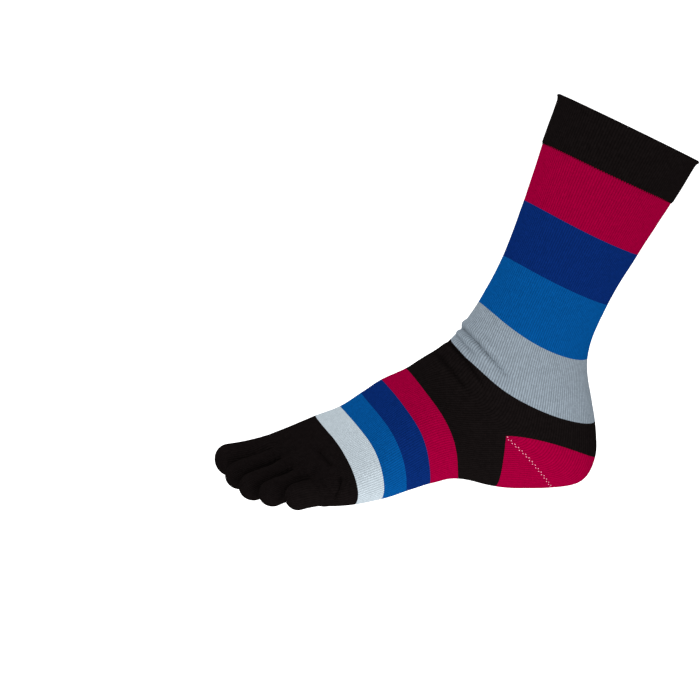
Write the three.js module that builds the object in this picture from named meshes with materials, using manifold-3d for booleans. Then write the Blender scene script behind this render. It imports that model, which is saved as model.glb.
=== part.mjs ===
// Toe sock for a left foot, in the form that it keeps while it is worn.
// +X runs from the heel to the toes, +Y to the outer side of the foot and +Z up.
// The origin lies on the inner face of the sole, at the middle of the heel.
import * as THREE from 'three';
import { mergeVertices } from 'three/addons/utils/BufferGeometryUtils.js';
import Module from 'manifold-3d';

// Driving dimensions, in millimetres
const FOOT_LENGTH = 240; // back of the heel to the end of the longest toe
const SOCK_HEIGHT = 240; // heel seat to the highest point of the rim
const FOOT_WIDTH = 88; // across the ball of the foot
const LEG_WIDTH = 86; // from side to side at the rim
const TOE_THICKNESS = 17; // from the top to the underside of the middle toe
const WALL = 1.2; // plain knit, stretched
const CUFF_WALL = 2.4; // doubled welt
const CUFF_INSET = 0.5; // how far the welt reaches in under the leg
const GAP = 0.3; // between neighbouring bands

// Fineness of the facets
const AROUND_BAND = 32; // corners of a section
const TOE_SPLIT = 2; // steps in half a web between two toes
const WEB_STEPS = 2 * TOE_SPLIT;
const TOE_STEPS = [4, 3, 3, 3, 4].map((steps) => steps * TOE_SPLIT); // across the top of each toe's root
const FOREFOOT_ROWS = 4; // rows before the toes part
const STUB_ROWS = 2; // rows of a toe that belong to the forefoot
const POCKET_ROWS = 4; // rows of a toe pocket before its rounded end
const DOME_ROWS = 3;

const BLACK = '#1a1516';
const MAGENTA = '#a80138';
const NAVY = '#0a2d72';
const AZURE = '#025498';
const GREY = '#93a1ac';
const SILVER = '#b9c3ca';
const KNIT_ROUGHNESS = 0.9;

// Sections of the inner face from the rim down the leg, round the heel and along the foot. Each one is
// an oval between an upper point, on the shin or the instep, and an under point, on the calf or the sole.
// x is a share of the foot's length and z of the sock's height. The widths, ridge and dip are shares
// of the leg's width above the heel and of the foot's width below it.
// side moves the oval to the outer side and ridge moves only its top. roll tips the oval to the side
// and sweep turns its outer end back, both in degrees. dip sags its sides towards the next section.
// square fills the corners of its under half.
const SECTION_COLUMNS = [
  'name', 'upperX', 'upperZ', 'underX', 'underZ', 'width', 'side', 'ridge', 'roll', 'sweep', 'dip', 'square',
];
const LEG_SECTIONS = [
  ['rim', -0.071, 1.004, -0.421, 0.826, 1.0, -0.221, 0.0, 2, 0, 0.0, 0.05],
  ['cuff_join', -0.022, 0.887, -0.35, 0.719, 0.907, -0.198, 0.0, 3, 0, 0.01, 0.05],
  ['magenta_end', 0.036, 0.742, -0.254, 0.588, 0.791, -0.151, 0.0, 3.5, 0, 0.02, 0.05],
  ['navy_end', 0.1, 0.602, -0.167, 0.46, 0.698, -0.105, 0.0, 5, 0, 0.023, 0.05],
  ['azure_end', 0.171, 0.485, -0.108, 0.325, 0.698, -0.07, 0.0, 2, 0, 0.07, 0.08],
  ['grey_end', 0.242, 0.392, -0.129, 0.152, 0.744, -0.047, -0.023, -4, 0, 0.105, 0.1],
];
const FOOT_SECTIONS = [
  ['heel_back', 0.27, 0.373, -0.127, 0.062, 0.727, -0.023, -0.045, -5, 0, 0.09, 0.15],
  ['heel_bend', 0.292, 0.36, -0.088, 0.002, 0.705, -0.011, -0.057, -5, 0, 0.065, 0.2],
  ['heel_sole', 0.312, 0.348, 0.012, -0.005, 0.705, 0.0, -0.068, -5, 0, 0.035, 0.22],
  ['heel_front', 0.335, 0.332, 0.145, 0.012, 0.727, 0.011, -0.08, -5, 0, 0.005, 0.25],
  ['instep', 0.368, 0.307, 0.268, 0.052, 0.795, 0.023, -0.091, -5, 1, -0.025, 0.25],
  ['foot_magenta_end', 0.427, 0.275, 0.351, 0.054, 0.852, 0.034, -0.114, -6, 2, -0.045, 0.25],
  ['foot_navy_end', 0.48, 0.234, 0.418, 0.052, 0.909, 0.045, -0.125, -7, 2, -0.055, 0.3],
  ['foot_azure_end', 0.532, 0.196, 0.501, 0.044, 0.955, 0.057, -0.125, -8, 3, -0.065, 0.3],
  ['foot_silver_end', 0.602, 0.164, 0.575, 0.046, 1.0, 0.068, -0.12, -9, 3, -0.068, 0.3],
  ['ball', 0.672, 0.137, 0.653, 0.047, 1.0, 0.057, -0.08, -9, 7, -0.04, 0.3],
  ['toe_roots', 0.724, 0.12, 0.71, 0.047, 0.966, 0.045, -0.04, -9, 12, 0.0, 0.3],
];

// Toes from the inner to the outer side. span is each one's share of the root section, the tip is
// given in shares of the foot's length, the foot's width and the sock's height, width in shares of the
// foot's width, thickness of the toe thickness, and lift is how far the knuckle rises over a straight
// line, as a share of the toe thickness.
const TOE_COLUMNS = ['name', 'span', 'tipX', 'tipY', 'tipZ', 'width', 'thickness', 'lift'];
const TOES = [
  ['toe_big', 0.3, 0.866, -0.36, 0.084, 0.26, 1.05, 0.0],
  ['toe_second', 0.18, 0.855, -0.115, 0.058, 0.165, 0.95, 0.3],
  ['toe_third', 0.175, 0.833, 0.07, 0.046, 0.16, 0.95, 0.3],
  ['toe_fourth', 0.17, 0.797, 0.24, 0.044, 0.15, 0.9, 0.3],
  ['toe_little', 0.175, 0.755, 0.44, 0.048, 0.148, 0.87, 0.25],
];
const SCALLOP = 0.22; // how far the grooves between the toes press into the root section
const SCALLOP_WIDTH = 0.09; // their half width, as a share of the section's half width
const WEB_REACH = 3; // how far the crotch between two toes bows forwards
const TOE_CLEARANCE = 2.5; // how far each side of a toe draws in next to its root
const PARTING_SHARE = 0.1; // share of a toe's length over which it does so at first
const PARTING_LEFT = 0.4; // share of the clearance that is left where the toes are full
const ROUNDING_SHARE = 0.45; // share of a toe's length over which its section turns round
const STUB_LENGTH = 6; // seam of a toe pocket, measured along the toe from its root

// Folds where the ankle bends, from one place on the surface to another. A place is a row name with a
// share of the way to the next row, and a turn in degrees from the top towards the outer side.
const FOLD_COLUMNS = ['fromRow', 'fromShare', 'fromTurn', 'toRow', 'toShare', 'toTurn', 'width', 'height'];
const FOLDS = [
  ['azure_end', 0.62, 0, 'azure_end', 0.5, 62, 5, 1.2],
  ['grey_end', 0.35, 0, 'grey_end', 0.1, 55, 4, 1.0],
  ['heel_back', 0.7, 0, 'heel_back', 0.35, 50, 4, 1.0],
];

// Heel pocket seen from the side: the corner where its two edges meet at the ankle's side, then
// points along its upper edge towards the back, as shares of the foot's length and the sock's height
const HEEL_CORNER = [0.15, 0.165];
const HEEL_FRONT_FOOT = [0.18, -0.05]; // lower end of its front edge, below the sole
const HEEL_UPPER_EDGE = [[0.033, 0.137], [-0.033, 0.106], [-0.121, 0.06]];
const HEEL_REACH = 0.25; // how far the cutting prism runs past the sock

// Bands of colour: node, colour, first and last section, rows, wall and how far it reaches inwards
const BAND_COLUMNS = ['name', 'colour', 'from', 'to', 'rows', 'wall', 'inset'];
const BANDS = [
  ['cuff', BLACK, 'rim', 'cuff_join', 3, CUFF_WALL, CUFF_INSET],
  ['leg_magenta', MAGENTA, 'cuff_join', 'magenta_end', 3, WALL, 0],
  ['leg_navy', NAVY, 'magenta_end', 'navy_end', 3, WALL, 0],
  ['leg_azure', AZURE, 'navy_end', 'azure_end', 3, WALL, 0],
  ['leg_grey', GREY, 'azure_end', 'grey_end', 7, WALL, 0],
  ['ankle', BLACK, 'grey_end', 'instep', 12, WALL, 0],
  ['foot_magenta', MAGENTA, 'instep', 'foot_magenta_end', 3, WALL, 0],
  ['foot_navy', NAVY, 'foot_magenta_end', 'foot_navy_end', 3, WALL, 0],
  ['foot_azure', AZURE, 'foot_navy_end', 'foot_azure_end', 3, WALL, 0],
  ['foot_silver', SILVER, 'foot_azure_end', 'foot_silver_end', 3, WALL, 0],
];

const HALF_TURN = Math.PI;
const QUARTER_TURN = Math.PI / 2;
const FULL_TURN = 2 * Math.PI;
const DEGREE = Math.PI / 180;
const SLOPE_STEP = 0.01; // small step for slopes of the surface

function readTable(columns, rows) {
  return rows.map((row) => Object.fromEntries(columns.map((column, i) => [column, row[i]])));
}

function mix(a, b, share) {
  return a + (b - a) * share;
}

function smooth(share) {
  const held = Math.min(Math.max(share, 0), 1);
  return held * held * (3 - 2 * held);
}

function bell(distance, width) {
  return Math.exp(-((distance / width) ** 2));
}

// Section rows in millimetres, with the widths of the part of the sock that they belong to
function sizeSections(rows, width) {
  return readTable(SECTION_COLUMNS, rows).map((row) => ({
    name: row.name,
    upperX: row.upperX * FOOT_LENGTH,
    upperZ: row.upperZ * SOCK_HEIGHT,
    underX: row.underX * FOOT_LENGTH,
    underZ: row.underZ * SOCK_HEIGHT,
    halfWidth: (row.width * width) / 2,
    side: row.side * width,
    ridge: row.ridge * width,
    roll: row.roll * DEGREE,
    sweep: row.sweep * DEGREE,
    dip: row.dip * width,
    square: row.square,
  }));
}

const sections = [...sizeSections(LEG_SECTIONS, LEG_WIDTH), ...sizeSections(FOOT_SECTIONS, FOOT_WIDTH)];
const toes = readTable(TOE_COLUMNS, TOES);
const INNER_TOE = toes[0].name;
const OUTER_TOE = toes.at(-1).name;
const bands = readTable(BAND_COLUMNS, BANDS);

function rowOf(name) {
  return sections.findIndex((section) => section.name === name);
}

const ROOT_ROW = rowOf('toe_roots');
const SCALLOP_START = rowOf('ball');

// Shares of the half width, from -1 to 1, where one toe ends and the next one starts
const toeEdges = [];
toes.slice(0, -1).reduce((sum, toe) => {
  toeEdges.push(2 * (sum + toe.span) - 1);
  return sum + toe.span;
}, 0);

// One column of the section table at a place between two rows, on a smooth curve through all rows
function sectionValue(key, row) {
  const last = sections.length - 1;
  const i = Math.min(Math.max(Math.floor(row), 0), last - 1);
  const share = row - i;
  const p1 = sections[i][key];
  const p2 = sections[i + 1][key];
  const p0 = i > 0 ? sections[i - 1][key] : 2 * p1 - p2;
  const p3 = i + 2 <= last ? sections[i + 2][key] : 2 * p2 - p1;
  const bend = 2 * p0 - 5 * p1 + 4 * p2 - p3;
  const twist = 3 * p1 - p0 - 3 * p2 + p3;
  return 0.5 * (2 * p1 + (p2 - p0) * share + bend * share ** 2 + twist * share ** 3);
}

// A point of the inner face without folds. The turn is 0 on top and grows to the outer side.
function plainPoint(row, turn) {
  const value = (key) => sectionValue(key, row);
  const across = Math.sin(turn);
  const along = Math.cos(turn);
  const square = (value('square') * (1 - along)) / 2;
  const upper = new THREE.Vector2(value('upperX'), value('upperZ'));
  const under = new THREE.Vector2(value('underX'), value('underZ'));
  const middle = upper.clone().add(under).multiplyScalar(0.5);
  const half = upper.clone().sub(under).multiplyScalar(0.5);
  const onward = new THREE.Vector2(half.y, -half.x).normalize();
  const pressed = toeEdges.reduce((sum, edge) => sum + bell(across - edge, SCALLOP_WIDTH), 0);
  const scallop = 1 - SCALLOP * pressed * smooth((row - SCALLOP_START) / (ROOT_ROW - SCALLOP_START));
  const height = along * (1 + square * across ** 2) * scallop;
  const reach = value('halfWidth') * across * (1 + square * along ** 2) + (value('ridge') * (1 + along)) / 2;
  const dip = value('dip') * across ** 2;
  const flat = reach * Math.cos(value('roll'));
  return new THREE.Vector3(
    middle.x + half.x * height + onward.x * dip - flat * Math.sin(value('sweep')),
    value('side') + flat * Math.cos(value('sweep')),
    middle.y + half.y * height + onward.y * dip + reach * Math.sin(value('roll')),
  );
}

const folds = readTable(FOLD_COLUMNS, FOLDS).map((fold) => ({
  from: plainPoint(rowOf(fold.fromRow) + fold.fromShare, fold.fromTurn * DEGREE),
  to: plainPoint(rowOf(fold.toRow) + fold.toShare, fold.toTurn * DEGREE),
  width: fold.width,
  height: fold.height,
}));

// Height of the folds at a point: each one is a rounded ridge along its line
function foldHeight(point) {
  const nearest = new THREE.Vector3();
  return folds.reduce((sum, fold) => {
    new THREE.Line3(fold.from, fold.to).closestPointToPoint(point, true, nearest);
    return sum + fold.height * bell(nearest.distanceTo(point), fold.width);
  }, 0);
}

function slope(surface, row, turn, rowStep, turnStep) {
  return surface(row + rowStep, turn + turnStep).sub(surface(row - rowStep, turn - turnStep));
}

function outward(surface, row, turn) {
  const around = slope(surface, row, turn, 0, SLOPE_STEP);
  return slope(surface, row, turn, SLOPE_STEP, 0).cross(around).normalize();
}

function surfacePoint(row, turn) {
  const point = plainPoint(row, turn);
  return point.addScaledVector(outward(plainPoint, row, turn), foldHeight(point));
}

// A point of the inner face. pull moves it along the sock.
function innerPoint(row, turn, pull) {
  const onward = slope(surfacePoint, row, turn, SLOPE_STEP, 0).normalize();
  return surfacePoint(row, turn).addScaledVector(onward, pull);
}

// Turns on the sheet between two rings of corner numbers
function joinRings(faces, ring, next) {
  ring.forEach((corner, i) => {
    const j = (i + 1) % ring.length;
    faces.push([corner, next[i], ring[j]], [ring[j], next[i], next[j]]);
  });
}

function toGeometry(points, faces) {
  const geometry = new THREE.BufferGeometry();
  geometry.setAttribute('position', new THREE.Float32BufferAttribute(points.flatMap((p) => p.toArray()), 3));
  geometry.setIndex(faces.flat());
  return geometry;
}

// A tube from one section to another: rings down its outer face and back up its inner face
function bandGeometry(band) {
  const first = rowOf(band.from);
  const last = rowOf(band.to);
  const points = [];
  const outerRings = [];
  const innerRings = [];
  for (let step = 0; step <= band.rows; step += 1) {
    const row = mix(first, last, step / band.rows);
    const atStart = step === 0 && first > 0 ? GAP / 2 : 0;
    const atEnd = step === band.rows ? -GAP / 2 : 0;
    const outerRing = [];
    const innerRing = [];
    for (let i = 0; i < AROUND_BAND; i += 1) {
      const turn = (i / AROUND_BAND) * FULL_TURN;
      const point = innerPoint(row, turn, atStart + atEnd);
      const normal = outward(surfacePoint, row, turn);
      outerRing.push(points.push(point.clone().addScaledVector(normal, band.wall - band.inset)) - 1);
      innerRing.push(points.push(point.addScaledVector(normal, -band.inset)) - 1);
    }
    outerRings.push(outerRing);
    innerRings.push(innerRing);
  }
  const faces = [];
  const loop = [...outerRings, ...innerRings.reverse()];
  loop.forEach((ring, i) => joinRings(faces, ring, loop[(i + 1) % loop.length]));
  return toGeometry(points, faces);
}

const sockGroup = new THREE.Group();

function addNode(name, colour, geometry) {
  const material = new THREE.MeshStandardMaterial({ color: colour, roughness: KNIT_ROUGHNESS, metalness: 0 });
  const mesh = new THREE.Mesh(geometry, material);
  mesh.name = name;
  sockGroup.add(mesh);
}

// Forefoot and toes

// Turn of every corner of the root section, from the inner side over the top and back below
const topTurns = [-QUARTER_TURN];
TOE_STEPS.forEach((steps, toe) => {
  const from = toe > 0 ? Math.asin(toeEdges[toe - 1]) : -QUARTER_TURN;
  const to = toe < toeEdges.length ? Math.asin(toeEdges[toe]) : QUARTER_TURN;
  for (let step = 1; step <= steps; step += 1) {
    topTurns.push(mix(from, to, step / steps));
  }
});
const underTurns = topTurns.slice(1, -1).reverse().map((turn) => HALF_TURN - turn);
const footTurns = [...topTurns, ...underTurns];
const FOOT_CORNERS = footTurns.length;
const topEdgeCorners = toeEdges.map((_, toe) => TOE_STEPS.slice(0, toe + 1).reduce((a, b) => a + b));
const underEdgeCorners = topEdgeCorners.map((corner) => FOOT_CORNERS - corner);

// Corner numbers from one corner of the root section to another, going round
function rootRun(from, to) {
  const run = [];
  for (let i = from; i <= to; i += 1) {
    run.push((i + FOOT_CORNERS) % FOOT_CORNERS);
  }
  return run;
}

// The web between two toes bows forwards from the groove on top to the groove below
function webPoints(top, under) {
  const points = [];
  for (let step = 1; step < WEB_STEPS; step += 1) {
    const share = step / WEB_STEPS;
    const point = top.clone().lerp(under, share);
    point.x += WEB_REACH * Math.sin(share * HALF_TURN);
    points.push(point);
  }
  return points;
}

// Middle of a ring, with every side of it weighed by its length
function ringCentre(ring) {
  const sum = new THREE.Vector3();
  let girth = 0;
  ring.forEach((corner, i) => {
    const next = ring[(i + 1) % ring.length];
    const side = corner.distanceTo(next);
    sum.addScaledVector(corner, side / 2).addScaledVector(next, side / 2);
    girth += side;
  });
  return sum.divideScalar(girth);
}

// Rings along one toe, from its root ring of corner points to its rounded end
function toeRings(toe, root, startTurn) {
  const centre = ringCentre(root);
  const tip = new THREE.Vector3(toe.tipX * FOOT_LENGTH, toe.tipY * FOOT_WIDTH, toe.tipZ * SOCK_HEIGHT);
  const knuckle = centre.clone().lerp(tip, 0.5);
  knuckle.z += toe.lift * TOE_THICKNESS;
  const path = new THREE.QuadraticBezierCurve3(centre, knuckle, tip);
  const length = path.getLength();
  const halfWidth = (toe.width * FOOT_WIDTH) / 2;
  const halfHeight = (toe.thickness * TOE_THICKNESS) / 2;
  const domeStart = 1 - halfHeight / length;
  const stub = STUB_LENGTH / length;
  const roll = sections[ROOT_ROW].roll;
  const rounding = (along) => smooth(along / ROUNDING_SHARE);
  const parting = (along, turn) => {
    const drawn = smooth(along / PARTING_SHARE) * mix(1, PARTING_LEFT, smooth(along / ROUNDING_SHARE));
    const innerLimit = toe.name === INNER_TOE ? 0 : -1;
    const outerLimit = toe.name === OUTER_TOE ? 0 : 1;
    return TOE_CLEARANCE * drawn * Math.min(Math.max(Math.sin(turn), innerLimit), outerLimit);
  };
  const ringAt = (along, size, pull) => {
    const forward = path.getTangentAt(along);
    const side = new THREE.Vector3(0, Math.cos(roll), Math.sin(roll));
    const up = forward.clone().cross(side).normalize();
    const middle = path.getPointAt(along).addScaledVector(forward, pull);
    return root.map((corner, i) => {
      const turn = startTurn + (i / root.length) * FULL_TURN;
      const oval = side.clone().multiplyScalar(halfWidth * Math.sin(turn));
      oval.addScaledVector(up, halfHeight * Math.cos(turn));
      const offset = corner.clone().sub(centre).lerp(oval, rounding(along)).multiplyScalar(size);
      return middle.clone().add(offset).addScaledVector(side, -parting(along, turn) * size);
    });
  };
  const seamNormals = ringAt(stub, 1, 0)
    .map((point) => point.sub(path.getPointAt(stub)).projectOnPlane(path.getTangentAt(stub)).normalize());
  const stubRings = [];
  for (let row = 1; row <= STUB_ROWS; row += 1) {
    const along = (stub * row) / STUB_ROWS;
    stubRings.push(ringAt(along, 1, row === STUB_ROWS ? -GAP / 2 : 0));
  }
  const pocketRings = [];
  for (let row = 0; row < POCKET_ROWS; row += 1) {
    const along = mix(stub, domeStart, row / POCKET_ROWS);
    pocketRings.push(ringAt(along, 1, row === 0 ? GAP / 2 : 0));
  }
  for (let row = 0; row < DOME_ROWS; row += 1) {
    const bend = (row / DOME_ROWS) * QUARTER_TURN;
    const along = mix(domeStart, 1, Math.sin(bend));
    pocketRings.push(ringAt(along, Math.cos(bend), 0));
  }
  return { stubRings, pocketRings, seamNormals, tip };
}

// Outward direction at every corner of a sheet: the sum of the faces around it
function cornerNormals(points, faces) {
  const normals = points.map(() => new THREE.Vector3());
  faces.forEach(([a, b, c]) => {
    const normal = points[b].clone().sub(points[a]).cross(points[c].clone().sub(points[a]));
    [a, b, c].forEach((corner) => normals[corner].add(normal));
  });
  return normals.map((normal) => normal.normalize());
}

// Gives a sheet its wall: the sheet with its faces turned round is the inner face, a copy of it is the
// outer face, and a strip closes each open rim. A rim runs against the way that the sheet's own faces
// go round it. Corners on a seam have the same normal on both sides of it, so that the ends stay parallel.
function thicken(points, faces, rims, seams, wall) {
  const count = points.length;
  const normals = cornerNormals(points, faces);
  seams.forEach(({ corners, directions }) => {
    corners.forEach((corner, i) => normals[corner].copy(directions[i]));
  });
  const outer = points.map((point, i) => point.clone().addScaledVector(normals[i], wall));
  const innerFaces = faces.map(([a, b, c]) => [a, c, b]);
  const outerFaces = faces.map((face) => face.map((corner) => corner + count));
  const strips = [];
  rims.forEach((rim) => joinRings(strips, rim, rim.map((corner) => corner + count)));
  return toGeometry([...points, ...outer], [...innerFaces, ...outerFaces, ...strips]);
}

function addForefootAndToes() {
  const points = [];
  const faces = [];
  const rings = [];
  const firstRow = rowOf('foot_silver_end');
  for (let step = 0; step <= FOREFOOT_ROWS; step += 1) {
    const row = mix(firstRow, ROOT_ROW, step / FOREFOOT_ROWS);
    const pull = step === 0 ? GAP / 2 : 0;
    rings.push(footTurns.map((turn) => points.push(innerPoint(row, turn, pull)) - 1));
  }
  rings.slice(1).forEach((ring, i) => joinRings(faces, rings[i], ring));
  const rootStart = FOREFOOT_ROWS * FOOT_CORNERS;
  const webs = topEdgeCorners.map((corner, i) => {
    const top = points[rootStart + corner];
    const under = points[rootStart + underEdgeCorners[i]];
    return webPoints(top, under).map((point) => points.push(point) - 1);
  });
  const rims = [rings[0]];
  const bandDirections = footTurns.map((turn) => outward(surfacePoint, firstRow, turn));
  const seams = [{ corners: rings[0], directions: bandDirections }];
  toes.forEach((toe, i) => {
    const isFirst = i === 0;
    const isLast = i === toes.length - 1;
    const rootCorners = [];
    const addRun = (from, to) => rootCorners.push(...rootRun(from, to).map((corner) => corner + rootStart));
    if (isFirst) {
      addRun(underEdgeCorners[0] - FOOT_CORNERS, topEdgeCorners[0]);
      rootCorners.push(...webs[0]);
    } else if (isLast) {
      addRun(topEdgeCorners[i - 1], underEdgeCorners[i - 1]);
      rootCorners.push(...webs[i - 1].slice().reverse());
    } else {
      addRun(topEdgeCorners[i - 1], topEdgeCorners[i]);
      rootCorners.push(...webs[i]);
      addRun(underEdgeCorners[i], underEdgeCorners[i - 1]);
      rootCorners.push(...webs[i - 1].slice().reverse());
    }
    const cornerTurn = FULL_TURN / rootCorners.length;
    const startTurn = cornerTurn * TOE_SPLIT + (isFirst ? QUARTER_TURN : -QUARTER_TURN);
    const toeShape = toeRings(toe, rootCorners.map((corner) => points[corner]), startTurn);
    let previous = rootCorners;
    toeShape.stubRings.forEach((ring) => {
      const corners = ring.map((point) => points.push(point) - 1);
      joinRings(faces, previous, corners);
      previous = corners;
    });
    rims.push(previous.slice().reverse());
    seams.push({ corners: previous, directions: toeShape.seamNormals });
    addToePocket(toe, toeShape);
  });
  addNode('forefoot', BLACK, thicken(points, faces, rims, seams, WALL));
}

function addToePocket(toe, { pocketRings, seamNormals, tip }) {
  const points = [];
  const faces = [];
  const cornerRings = pocketRings.map((ring) => ring.map((point) => points.push(point) - 1));
  cornerRings.slice(1).forEach((ring, i) => joinRings(faces, cornerRings[i], ring));
  const end = points.push(tip) - 1;
  const lastRing = cornerRings.at(-1);
  lastRing.forEach((corner, i) => faces.push([corner, end, lastRing[(i + 1) % lastRing.length]]));
  const seams = [{ corners: cornerRings[0], directions: seamNormals }];
  addNode(toe.name, BLACK, thicken(points, faces, [cornerRings[0]], seams, WALL));
}

// Heel pocket, cut out of the ankle tube

const wasm = await Module();
wasm.setup();

function toSolid(geometry) {
  const bare = geometry.clone();
  bare.deleteAttribute('normal');
  bare.deleteAttribute('uv');
  const merged = mergeVertices(bare);
  return new wasm.Manifold(new wasm.Mesh({
    numProp: 3,
    vertProperties: new Float32Array(merged.attributes.position.array),
    triVerts: new Uint32Array(merged.index.array),
  }));
}

function fromSolid(solid) {
  const mesh = solid.getMesh();
  const geometry = new THREE.BufferGeometry();
  geometry.setAttribute('position', new THREE.Float32BufferAttribute(mesh.vertProperties, 3));
  geometry.setIndex([...mesh.triVerts]);
  return geometry;
}

// The prism that holds the heel pocket. grow moves its two edges outwards.
function heelPrism(grow) {
  const reach = HEEL_REACH * FOOT_LENGTH;
  const outline = new THREE.Shape();
  outline.moveTo(HEEL_FRONT_FOOT[0] * FOOT_LENGTH + grow, HEEL_FRONT_FOOT[1] * SOCK_HEIGHT);
  outline.lineTo(HEEL_CORNER[0] * FOOT_LENGTH + grow, HEEL_CORNER[1] * SOCK_HEIGHT + grow);
  HEEL_UPPER_EDGE.forEach(([x, z]) => outline.lineTo(x * FOOT_LENGTH, z * SOCK_HEIGHT + grow));
  outline.lineTo(-reach, HEEL_UPPER_EDGE.at(-1)[1] * SOCK_HEIGHT + grow);
  outline.lineTo(-reach, -reach);
  const prism = new THREE.ExtrudeGeometry(outline, { depth: 2 * FOOT_WIDTH, bevelEnabled: false });
  prism.rotateX(QUARTER_TURN);
  prism.translate(0, FOOT_WIDTH, 0);
  return toSolid(prism);
}

bands.forEach((band) => {
  const geometry = bandGeometry(band);
  if (band.name === 'ankle') {
    const tube = toSolid(geometry);
    addNode('ankle', band.colour, fromSolid(tube.subtract(heelPrism(GAP))));
    addNode('heel', MAGENTA, fromSolid(tube.intersect(heelPrism(0))));
  } else {
    addNode(band.name, band.colour, geometry);
  }
});
addForefootAndToes();

export default sockGroup;
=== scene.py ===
import math

import bpy
import numpy as np
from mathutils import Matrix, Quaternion, Vector, noise
from mathutils.bvhtree import BVHTree


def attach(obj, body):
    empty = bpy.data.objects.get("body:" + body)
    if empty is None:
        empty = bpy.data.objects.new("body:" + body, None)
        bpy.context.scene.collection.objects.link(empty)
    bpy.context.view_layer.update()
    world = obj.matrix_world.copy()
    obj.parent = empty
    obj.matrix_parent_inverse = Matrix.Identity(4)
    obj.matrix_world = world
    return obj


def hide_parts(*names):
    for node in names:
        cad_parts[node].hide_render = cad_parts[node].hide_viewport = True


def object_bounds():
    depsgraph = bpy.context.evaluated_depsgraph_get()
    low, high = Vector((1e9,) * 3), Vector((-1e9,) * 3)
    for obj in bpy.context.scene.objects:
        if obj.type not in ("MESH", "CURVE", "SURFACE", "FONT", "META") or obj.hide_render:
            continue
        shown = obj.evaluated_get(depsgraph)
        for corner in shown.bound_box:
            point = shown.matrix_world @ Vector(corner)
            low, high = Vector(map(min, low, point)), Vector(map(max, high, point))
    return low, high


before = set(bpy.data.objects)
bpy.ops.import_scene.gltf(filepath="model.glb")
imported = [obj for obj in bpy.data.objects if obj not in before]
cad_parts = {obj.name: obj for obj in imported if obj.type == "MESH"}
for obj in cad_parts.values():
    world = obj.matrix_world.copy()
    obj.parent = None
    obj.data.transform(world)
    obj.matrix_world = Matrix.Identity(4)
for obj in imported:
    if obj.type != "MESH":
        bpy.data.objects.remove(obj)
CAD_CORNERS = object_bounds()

bl_info = {
    "name": "Knitted toe sock",
    "version": (1, 0, 0),
    "blender": (4, 5, 0),
    "location": "3D View > Sidebar > Toe Sock",
    "description": "Builds a striped toe sock in its worn form, with its knit and its stage",
    "category": "Add Mesh",
}

MM = 0.001
FULL_TURN = 2 * math.pi
HALF_TURN = math.pi
QUARTER_TURN = math.pi / 2

# Sections of the inner face from the rim down the leg, round the heel and along the foot. Each one is
# an oval between an upper point, on the shin or the instep, and an under point, on the calf or sole.
# x is a share of the foot's length and z of the sock's height. The widths, side, ridge and dip are
# shares of the leg's width above the heel and of the foot's width below it. Roll and sweep are in
# degrees, and square fills the corners of the under half.
SECTION_COLUMNS = (
    "name", "upper_x", "upper_z", "under_x", "under_z",
    "width", "side", "ridge", "roll", "sweep", "dip", "square",
)
LEG_SECTIONS = (
    ("rim", -0.073, 1.01, -0.421, 0.826, 1.0, -0.221, 0.0, 2, 0, 0.0, 0.05),
    ("cuff_join", -0.022, 0.887, -0.35, 0.719, 0.907, -0.198, 0.0, 3, 0, 0.01, 0.05),
    ("magenta_end", 0.036, 0.742, -0.254, 0.588, 0.791, -0.151, 0.0, 3.5, 0, 0.02, 0.05),
    ("navy_end", 0.1, 0.602, -0.167, 0.46, 0.698, -0.105, 0.0, 5, 0, 0.023, 0.05),
    ("azure_end", 0.171, 0.485, -0.108, 0.325, 0.698, -0.07, 0.0, 2, 0, 0.07, 0.08),
    ("grey_end", 0.242, 0.392, -0.129, 0.152, 0.744, -0.047, -0.023, -4, 0, 0.105, 0.1),
)
FOOT_SECTIONS = (
    ("heel_back", 0.27, 0.373, -0.127, 0.062, 0.727, -0.023, -0.045, -5, 0, 0.09, 0.15),
    ("heel_bend", 0.292, 0.36, -0.088, 0.002, 0.705, -0.011, -0.057, -5, 0, 0.065, 0.2),
    ("heel_sole", 0.312, 0.348, 0.012, -0.005, 0.705, 0.0, -0.068, -5, 0, 0.035, 0.22),
    ("heel_front", 0.335, 0.332, 0.145, 0.012, 0.727, 0.011, -0.08, -5, 0, 0.005, 0.25),
    ("instep", 0.368, 0.307, 0.268, 0.052, 0.795, 0.023, -0.091, -5, 1, -0.025, 0.25),
    ("foot_magenta_end", 0.427, 0.275, 0.351, 0.054, 0.852, 0.034, -0.114, -6, 2, -0.045, 0.25),
    ("foot_navy_end", 0.48, 0.234, 0.418, 0.052, 0.909, 0.045, -0.125, -7, 2, -0.055, 0.3),
    ("foot_azure_end", 0.532, 0.196, 0.501, 0.044, 0.955, 0.057, -0.125, -8, 3, -0.065, 0.3),
    ("foot_silver_end", 0.602, 0.164, 0.575, 0.046, 1.0, 0.068, -0.12, -9, 3, -0.068, 0.3),
    ("ball", 0.658, 0.14, 0.64, 0.047, 1.0, 0.057, -0.08, -9, 8, -0.06, 0.3),
    ("toe_roots", 0.703, 0.127, 0.69, 0.047, 0.966, 0.045, -0.04, -9, 14, -0.07, 0.3),
)

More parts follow.
